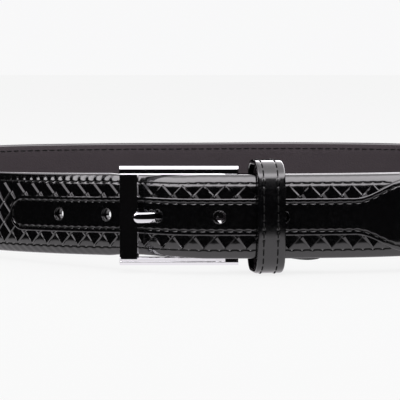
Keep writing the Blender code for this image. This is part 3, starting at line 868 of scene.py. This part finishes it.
def weave(first, last):
    """The rows of diamonds between two places.

    Three rows lean one way, and two, set half a step on, lean the other.
    """
    lean = {
        1: diamond_shape("rising diamond", 1.0, RISING_WEDGE),
        -1: diamond_shape("falling diamond", -1.0, FALLING_WEDGE),
    }
    phase = ROUND + where_front_x(DIAMOND_AT_X)
    rows = []
    for row in range(-2, 3):
        origin = phase + (DIAMOND_LONG / 2 if row % 2 else 0.0)
        begin = math.ceil((first - origin) / DIAMOND_LONG + 0.5)
        end = math.floor((last - origin) / DIAMOND_LONG - 0.5)
        ends = [(origin + step * DIAMOND_LONG, row * DIAMOND_HIGH / 2, 0.0) for step in (begin, end)]
        rows.append(clear_of_strip(*flat_row(ends, lean[-1 if row % 2 else 1], DIAMOND_LONG)))
    drop(*lean.values())
    return rows


def settle_weave(points):
    """Lays the diamonds on the face. Their tops stay nearly upright where the face rolls away under them."""
    s, up, out = points.T
    open_face = smoothstep(*WEAVE_LAPPED, np.abs(up) - strip_half(s))
    open_face = np.where(s < STRIP_END, 1.0, open_face)
    lapped = smoothstep(-0.2, 0.7, EDGE_SEAM - np.abs(up))
    raised = out * open_face * (0.15 + 0.85 * lapped)
    rise = face_rise(s, up) * (1.0 - 0.9 * raised) + WEAVE_RELIEF * (raised - 0.06) + 0.02
    return wrap(s, up, rise)


def weave_pieces():
    for name, first, last, body in (
        ("woven_band", BUCKLE_END, SPLIT, "belt"),
        ("free_end_band", SPLIT, FLARE_START + FLARE_LONG, "free_end"),
    ):
        band = rows_piece(name, weave(first, last), settle_weave, FACE, WEAVE_CREASE)
        finished(band, body)


def edge_seam_path(first, last, side):
    start = (math.ceil(first / EDGE_STITCH) + 0.5) * EDGE_STITCH
    count = int((last - start) / EDGE_STITCH)
    return [(s, side * EDGE_SEAM, 0.0) for s in (start, start + count * EDGE_STITCH)]


def strip_seam_path(first, last, side):
    s = np.arange(first, last, 1.0)
    return [(float(a), float(side * (strip_half(a) - STRIP_SEAM_IN)), 0.0) for a in s]


def strip_end_path():
    """The seam's turn round the strip's end."""
    centre = STRIP_END + STRIP_HALF
    radius = STRIP_HALF - STRIP_SEAM_IN
    angles = np.linspace(math.pi / 2, 3 * math.pi / 2, 25)
    return [(centre + radius * math.cos(a), radius * math.sin(a), 0.0) for a in angles]


def settle_on_face(points):
    s, up, out = points.T
    return wrap(s, up, face_rise(s, up) + out + 0.12)


def settle_on_strip(points):
    s, up, out = points.T
    return wrap(s, up, strip_rise(s, up) + out + 0.10)


def settle_on_lining(points):
    s, up, out = points.T
    return wrap(s, up, -STRAP_THICK - 0.2 - out)


def seams():
    edge_stitch = stitch_shape(EDGE_STITCH * EDGE_STITCH_SHARE, EDGE_THREAD)
    strip_stitch = stitch_shape(STRIP_STITCH * FINE_STITCH_SHARE, FINE_THREAD)
    crossing = FLARE_START + FLARE_LONG * 0.62
    round_start = STRIP_END + STRIP_HALF
    for word, side in (("upper", 1), ("lower", -1)):
        edge_row, end_row = (
            [flat_row(edge_seam_path(first, last, side), edge_stitch, EDGE_STITCH)]
            for first, last in ((BUCKLE_END, SPLIT), (SPLIT, crossing))
        )
        strip_rows, end_strip_row = (
            [flat_row(strip_seam_path(first, last, side), strip_stitch, STRIP_STITCH)]
            for first, last in ((round_start + 1.0, SPLIT - 1.0), (SPLIT + 2.0, TIP - TIP_ROUND * 0.35))
        )
        if side > 0:
            strip_rows.append(flat_row(strip_end_path(), strip_stitch, STRIP_STITCH))
        end = f"free_end_{word}"
        for name, rows, settle, body, replaced in (
            (f"{word}_edge_stitches", edge_row, settle_on_face, "belt", [f"{word}_edge_seam"]),
            (f"{word}_lining_stitches", edge_row, settle_on_lining, "belt", []),
            (f"{end}_edge_stitches", end_row, settle_on_face, "free_end", [f"tip_{word}_edge_seam"]),
            (f"{word}_strip_stitches", strip_rows, settle_on_strip, "belt", [f"{word}_strip_seam"]),
            (f"{end}_strip_stitches", end_strip_row, settle_on_strip, "free_end", [f"tip_{word}_strip_seam"]),
        ):
            finished(rows_piece(name, rows, settle, THREAD), body, replaced)
    drop(edge_stitch, strip_stitch)


# -------- the folded end


def fold_path(side_gap):
    """Plan points of one face of the folded end: round the heel bar and back along the lining."""
    radius = HEEL_RADIUS + FOLD_CLEAR + side_gap
    turn = np.radians(np.linspace(270.0, 90.0, 19))
    bend = np.stack([HEEL[0] + radius * np.cos(turn), HEEL[1] + radius * np.sin(turn)], axis=-1)
    x = np.linspace(BUCKLE_END_X + 5.0, FLAP_END_X, 22)
    s = np.array([where_front_x(value) for value in x])
    flap = wrap(s, np.zeros_like(s), np.full_like(s, -STRAP_THICK - 0.25 - side_gap))[:, :2]
    lead = np.array([[BUCKLE_END_X - 0.3, HEEL[1] - radius]])
    share = np.linspace(0.12, 0.88, 7)
    join = bend[-1] + (flap[0] - bend[-1]) * np.stack([share, smoothstep(0.0, 1.0, share)], axis=-1)
    return np.concatenate([lead, bend, join, flap])


def folded_end():
    outer, inner = fold_path(FOLD_THICK), fold_path(0.0)
    middle = FRONT_LIFT + HALF
    on_flap = np.arange(len(outer)) >= FLAP_FIRST
    corner = FLAP_CORNER * rolled(1.0 - (FLAP_END_X - outer[:, 0]) / FLAP_CORNER)
    half = HALF - 0.2 - np.where(on_flap, corner, 0.0)
    hanging = np.clip((outer[:, 0] - DROOP_START_X) / (FLAP_END_X - DROOP_START_X), 0.0, 1.0)
    droop = FLAP_DROOP * np.sin(math.pi * hanging**1.4) * on_flap
    points = []
    for out, ins, top, low in zip(outer, inner, middle + half, middle - half - droop):
        edge = out + (ins - out) * FOLD_SOFT / FOLD_THICK
        points += [
            (*out, low + FOLD_SOFT), (*out, middle), (*out, top - FOLD_SOFT), (*edge, top),
            (*ins, top), (*ins, middle), (*ins, low), (*edge, low),
        ]
    fold = mesh_object("folded_end", to_world(points), tube_faces(len(outer), 8), SMOOTH)
    corners = [(x, y, z) for x in (HEEL[0] - 8.0, SLOT_RIGHT_X) for y in (HEEL[1] - 8.0, HEEL[1] + 8.0)
               for z in (middle - SLOT_HALF_HIGH, middle + SLOT_HALF_HIGH)]
    sides = [(0, 1, 3, 2), (4, 6, 7, 5), (0, 4, 5, 1), (2, 3, 7, 6), (0, 2, 6, 4), (1, 5, 7, 3)]
    slot = mesh_object("slot", to_world(corners), sides, THREAD)
    subtract(fold, slot)
    drop(slot)
    finished(fold, "belt", ["buckle_fold"])


# -------- buckle and tongue


def arm_section(side, front_in, lip):
    """The section of one arm as (y, z), from its outer back corner round its front.

    The side is 1 for the upper arm and -1 for the lower, which has a ledge where the upper has a lip.
    """
    outer, inner = (FRAME_LOW, WINDOW_LOW) if side < 0 else (FRAME_HIGH, WINDOW_HIGH)
    front = FRAME_FRONT + front_in
    section = [(FRAME_BACK, outer), (FRAME_FRONT + 0.9, outer), (front, outer - side * OUTER_CHAMFER)]
    if side < 0:
        ledge = outer + OUTER_CHAMFER + 0.3
        return section + [
            (front, ledge), (front + lip * LOWER_LEAN, ledge + 0.1),
            (front, inner - 0.35), (FRAME_FRONT + 0.5, inner), (FRAME_BACK, inner),
        ]
    edge = (front - lip * LIP_HIGH, inner + 0.12)
    return section + [(front, inner + LIP_HIGH + 0.15), edge, (FRAME_BACK, inner)]


def buckle_frame():
    """A front bar let into two chamfered arms, with a lug at each arm's end."""
    points, faces = [], []
    for side in (-1, 1):
        rings = (
            (FRAME_LEFT, 0.5, 1.0), (FRAME_LEFT + SIDE_CHAMFER, 0.0, 1.0), (LIP_END_X - 4.0, 0.0, 1.0),
            (LIP_END_X, 0.0, 0.0), (FRAME_RIGHT - SIDE_CHAMFER, 0.0, 0.0), (FRAME_RIGHT, 0.4, 0.0),
        )
        sections = [arm_section(side, front_in, lip) for x, front_in, lip in rings]
        faces += shifted(tube_faces(len(rings), len(sections[0])), points)
        points += [(ring[0], y, z) for ring, section in zip(rings, sections) for y, z in section]
    arms = mesh_object("chrome_arms", to_world(points), faces, CHROME, 20.0)
    soften(arms, 0.14)
    finished(arms, "buckle", ["buckle_frame"])
    right = FRAME_LEFT + FRONT_BAR_WIDE
    rings = (
        (WINDOW_LOW - INNER_CHAMFER - 0.3, FRAME_FRONT - 0.03),
        (WINDOW_HIGH + INNER_CHAMFER + 0.3, FRAME_FRONT + BAR_RECESS),
    )
    points = []
    for z, front in rings:
        points += [
            (FRAME_LEFT + 0.02, FRAME_BACK - 0.05, z), (FRAME_LEFT + 0.02, front + SIDE_CHAMFER, z),
            (FRAME_LEFT + SIDE_CHAMFER, front, z), (right - INNER_CHAMFER, front, z),
            (right, front + INNER_CHAMFER, z), (right, FRAME_BACK - 0.05, z),
        ]
    bar = mesh_object("chrome_front_bar", to_world(points), tube_faces(2, 6), CHROME, 20.0)
    soften(bar, 0.14)
    finished(bar, "buckle")
    left = FRAME_RIGHT - LUG_LONG
    outline = [
        (FRAME_RIGHT, FRAME_FRONT + 1.0), (FRAME_RIGHT, LUG_BACK - 1.2), (FRAME_RIGHT - 1.2, LUG_BACK),
        (left + 0.6, LUG_BACK), (left - 0.6, LUG_BACK - 1.0),
        (left - 2.4, FRAME_BACK - 0.2), (left - 2.4, FRAME_FRONT + 1.0),
    ]
    for word, low, high in (("lower", FRAME_LOW, WINDOW_LOW), ("upper", WINDOW_HIGH, FRAME_HIGH)):
        points = [(x, y, z) for z in (low + 0.1, high - 0.1) for x, y in outline]
        lug = mesh_object(f"{word}_lug", to_world(points), tube_faces(2, len(outline)), CHROME, 20.0)
        soften(lug, 0.25)
        finished(lug, "buckle")


def soften(obj, width):
    """Rounds a piece's edges for good."""
    bevel = obj.modifiers.new("soft edges", "BEVEL")
    bevel.width = width * MM
    bevel.segments = 3
    bevel.limit_method = "ANGLE"
    bevel.angle_limit = math.radians(15)
    rounded = modified_mesh(obj)
    obj.modifiers.remove(bevel)
    obj.data = rounded
    rounded.shade_smooth()
    for polygon in rounded.polygons:
        polygon.use_smooth = polygon.area < FRAME_FLAT * MM * MM


def tongue():
    """A prong of rounded section from its eye round the heel bar to its blunt tip."""
    line = np.array(TONGUE_LINE)
    spans = []
    for i in range(len(line) - 1):
        before, after = line[max(i - 1, 0)], line[min(i + 2, len(line) - 1)]
        a, b = line[i], line[i + 1]
        t = np.linspace(0.0, 1.0, 8, endpoint=False)[:, None]
        spans.append(hermite(t, a, b, (b - before) / 2, (after - a) / 2))
    way = (line[-1] - line[-2]) / np.linalg.norm(line[-1] - line[-2])
    centres = np.concatenate([*spans, line[-1] + np.linspace(0.0, 1.0, 5)[:, None] * way])
    along = walked(centres)
    rounding = TONGUE_WIDE / 2
    shoulder = along[-1] - rounding
    turned = shoulder + rounding * np.sin(np.linspace(0.06, math.pi / 2 - 0.04, 14))
    at = np.concatenate([np.linspace(0.0, shoulder, 60), turned])
    centres = pairs_at(at, along, centres)
    size = 1.0 - rolled((at - shoulder) / rounding)
    side = -square_to(np.gradient(centres, axis=0))
    angle = (np.arange(24) + 0.5) * math.pi / 12
    boxy = np.where(np.sin(angle) > 0.0, 0.35, 0.7)  # squarer above than below
    flat = np.sign(np.cos(angle)) * np.abs(np.cos(angle)) ** boxy * TONGUE_THICK / 2
    tall = np.sign(np.sin(angle)) * np.abs(np.sin(angle)) ** (boxy + 0.1) * TONGUE_WIDE / 2
    middle = FRONT_LIFT + HALF - TONGUE_SAG
    level = centres[:, None] + side[:, None] * (flat * size[:, None] ** 0.6)[..., None]
    height = middle + tall * size[:, None]
    points = np.concatenate([level, height[..., None]], axis=-1)
    blade = mesh_object(
        "chrome_tongue", to_world(points.reshape(-1, 3)), tube_faces(len(centres), 24), CHROME, 75.0
    )
    finished(blade, "tongue", ["tongue"])
    profile = [(HEEL_RADIUS + 0.15, -2.0), (EYE_RADIUS - 0.4, -2.2), (EYE_RADIUS, -1.7)]
    profile += [(radius, -z) for radius, z in profile[::-1]]
    points = []
    for angle in np.arange(36) * math.pi / 18:
        way = np.array([math.cos(angle), math.sin(angle)])
        points += [(*(HEEL + radius * way), middle + z) for radius, z in profile]
    eye = mesh_object("tongue_eye", to_world(points), tube_faces(36, len(profile), closed_along=True), CHROME)
    finished(eye, "tongue")


# -------- keeper


def keeper_path(grow, samples):
    """The keeper's closed path in (outwards, height), its own way out, and the distance along it."""
    front, back = -STACK_FRONT + KEEPER_CLEAR + grow, -STACK_BACK - KEEPER_CLEAR - grow
    low, high = KEEPER_WALL - grow, KEEPER_HIGH - KEEPER_WALL + grow
    radius = KEEPER_ROUND - KEEPER_WALL + grow
    corners = [
        (front - radius, high - radius, 0.0), (back + radius, high - radius, 90.0),
        (back + radius, low + radius, 180.0), (front - radius, low + radius, 270.0),
    ]
    points = []
    for out, height, start in corners:
        for angle in np.radians(np.linspace(start, start + 90.0, 15)):
            points.append((out + radius * math.cos(angle), height + radius * math.sin(angle)))
    points = np.array(points + points[:1])
    along = walked(points)
    at = np.arange(samples) * along[-1] / samples
    place = pairs_at(at, along, points)
    middle = KEEPER_HIGH / 2
    bulge = KEEPER_BOW * (1.0 - ((place[:, 1] - middle) / middle) ** 2)
    place[:, 0] += bulge * smoothstep(back, front, place[:, 0])
    way = square_to(np.roll(place, -1, axis=0) - np.roll(place, 1, axis=0))
    return place, way, at, along[-1]


def keeper_point(across, out, height):
    """A point of the keeper, which sits square on its own turned line and not on the strap's."""
    face = plan(where_front_x(KEEPER_X))
    along = np.array([math.cos(KEEPER_YAW), math.sin(KEEPER_YAW)])
    outwards = np.array([math.sin(KEEPER_YAW), -math.cos(KEEPER_YAW)])
    out = np.asarray(out)
    sideways = np.asarray(across) + KEEPER_SKEW * (out - KEEPER_PIVOT)
    level = face + sideways[..., None] * along + out[..., None] * outwards
    return np.concatenate([level, np.asarray(height)[..., None]], axis=-1)


def keeper_rise(across, at, pitch):
    """Height of the keeper's outside over its mean: rolled at its edges and grooved along its seams."""
    rise = -KEEPER_EDGE_DROP * rolled((np.abs(across) - KEEPER_WIDE / 2 + KEEPER_EDGE) / KEEPER_EDGE)
    for seam in KEEPER_SEAMS:
        rise = rise - 0.8 * groove(across - seam, at, pitch)
    return rise


def keeper():
    samples = 176
    place, way, at, total = keeper_path(KEEPER_WALL, samples)
    pitch = total / round(total / KEEPER_STITCH)
    half = KEEPER_WIDE / 2
    near_seam = np.array([-1.1, -0.6, -0.28, 0.0, 0.28, 0.6, 1.1])
    edge = np.array([-half, 0.05 - half, 0.22 - half, 0.5 - half, 0.9 - half])
    front = np.concatenate([
        edge, near_seam + KEEPER_SEAMS[0], [-1.0, 0.2], near_seam + KEEPER_SEAMS[1], -edge[::-1]
    ])
    rise = keeper_rise(front[None, :], at[:, None], pitch)
    under = np.array([half, half - 0.25, 0.0, 0.25 - half, -half])
    deep = np.array([-1.35, -1.7, -1.7, -1.7, -1.35])
    across = np.concatenate([front, under])
    rise = np.concatenate([rise, np.broadcast_to(deep, (samples, 5))], axis=1)
    ring = place[:, None, :] + way[:, None, :] * rise[..., None]
    points = keeper_point(np.broadcast_to(across, rise.shape), ring[..., 0], ring[..., 1])
    faces = tube_faces(samples, len(across), closed_along=True)
    loop = mesh_object("keeper_band", to_world(points.reshape(-1, 3)), faces, SMOOTH)
    finished(loop, "keeper", ["keeper_loop"])

    stitch = stitch_shape(pitch * FINE_STITCH_SHARE, FINE_THREAD)
    for word, seam in zip(("left", "right"), KEEPER_SEAMS):
        row = flat_row([(pitch / 2, seam, 0.0), (total - pitch / 2, seam, 0.0)], stitch, pitch)

        def settle(points):
            along, across, out = points.T
            spot, normal = (pairs_at(along, at, pairs, total) for pairs in (place, way))
            spot = spot + normal * (out + 0.08 + keeper_rise(across, along, pitch))[:, None]
            return keeper_point(across, spot[:, 0], spot[:, 1])

        piece = rows_piece(f"keeper_{word}_stitches", [row], settle, THREAD)
        finished(piece, "keeper", [f"keeper_{word}_seam"])
    drop(stitch)


# -------- carried-over pieces


def carried_over():
    """CAD pieces whose shape stays, with their real finish."""
    finishes = {
        "core": BOARD, "tip_core": BOARD, "heel_bar": CHROME, "keeper_lining": LINING,
        "keeper_staple": CHROME, "upper_post_head": CHROME, "lower_post_head": CHROME,
        "upper_post_screw": CHROME, "lower_post_screw": CHROME,
    }
    for node, finish in finishes.items():
        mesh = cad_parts[node].data
        mesh.materials.clear()
        mesh.materials.append(finish)


# -------- studio


def studio():
    """A pale sweep, a wide soft sky over it, and a dark room at eye level that patent leather mirrors."""
    bpy.ops.mesh.primitive_plane_add(size=6.0, location=(0.0, 0.0, CAD_BOX[0][2] - 0.0002))
    floor = bpy.context.active_object
    floor.name = "floor"
    sweep = Finish(
        "pale paper", (0.09, 0.09, 0.09), 0.9,
        specular_ior_level=0.0, emission_strength=PAPER_GLOW, emission_color=WHITE,
    )
    sweep.tint(sweep.noise(30.0, 2.0), (0.088, 0.088, 0.089), (0.092, 0.092, 0.092))
    floor.data.materials.append(sweep.material)
    floor.visible_glossy = False

    world = bpy.data.worlds.new("studio")
    bpy.context.scene.world = world
    world.use_nodes = True
    world.node_tree.nodes.clear()
    sky = Nodes(world.node_tree)
    direction = sky.node("ShaderNodeTexCoord").outputs["Generated"]
    split = sky.node("ShaderNodeSeparateXYZ", None, {0: direction}).outputs
    east, north, rise = (Signal(sky, split[axis]) for axis in "XYZ")

    # The soft box overhead ends beside the belt: the dark room stands higher there, and the light is weaker
    level = (1.0 - rise * rise).root().at_least(0.01)
    beside = sky.ranged(east / level, -0.05, -0.4, soft=True)
    beyond = beside * sky.ranged(north / level, -0.17, -0.08, soft=True)
    raised = (rise - beyond * ROOM_RAISED).at_least(rise.at_most(0.0))
    overhead = (rise.at_least(0.0) * 8.0).at_most(1.0)
    ramp = sky.node("ShaderNodeValToRGB", None, {0: sky.ranged(raised, -1.0, 1.0)})
    elements = ramp.color_ramp.elements
    while len(elements) < len(SKY_STOPS):
        elements.new(1.0)
    for element, (position, shade) in zip(elements, SKY_STOPS):
        element.position = position
        element.color = (*(shade * part for part in SKY_TINT), 1.0)

    def light(colour, strength):
        return sky.node("ShaderNodeBackground", None, {"Color": colour, "Strength": strength}).outputs[0]

    def either(test, otherwise, then):
        return sky.node("ShaderNodeMixShader", None, {0: test, 1: otherwise, 2: then}).outputs[0]

    path = sky.node("ShaderNodeLightPath").outputs
    mirrored = light(ramp.outputs[0], SKY_STRENGTH - beyond * overhead * SKY_LOSS)
    unseen = either(path["Is Glossy Ray"], light(WHITE, 1.0), mirrored)
    sky.node("ShaderNodeOutputWorld", None, {0: either(path["Is Camera Ray"], unseen, light(BACKDROP, 1.0))})
    bpy.context.scene.view_settings.view_transform = "Standard"

    lamp = bpy.data.lights.new("overhead panel", "AREA")
    lamp.size = 0.5
    lamp.energy = 11.0
    panel = bpy.data.objects.new("overhead panel", lamp)
    panel.location = (0.0, SHIFT[1], 1.5)
    panel.visible_glossy = False
    bpy.context.scene.collection.objects.link(panel)


def camera():
    """A long lens in front of the buckle and a little above it, tipped slightly down."""
    lens = bpy.data.cameras.new("camera")
    lens.sensor_width = SENSOR_WIDE
    lens.lens = LENS_LONG
    lens.clip_start = 0.05
    lens.clip_end = 20.0
    eye = bpy.data.objects.new("camera", lens)
    bpy.context.scene.collection.objects.link(eye)
    eye.location = to_world([0.0, PLAN_CURVE[0][1] - EYE_AWAY, EYE_HIGH])
    tip_down = math.atan(HORIZON_ABOVE * SENSOR_WIDE / LENS_LONG)
    eye.rotation_euler = (math.pi / 2 - tip_down, 0.0, 0.0)
    bpy.context.scene.camera = eye


strap_layers()
weave_pieces()
seams()
folded_end()
buckle_frame()
tongue()
keeper()
carried_over()
studio()
camera()
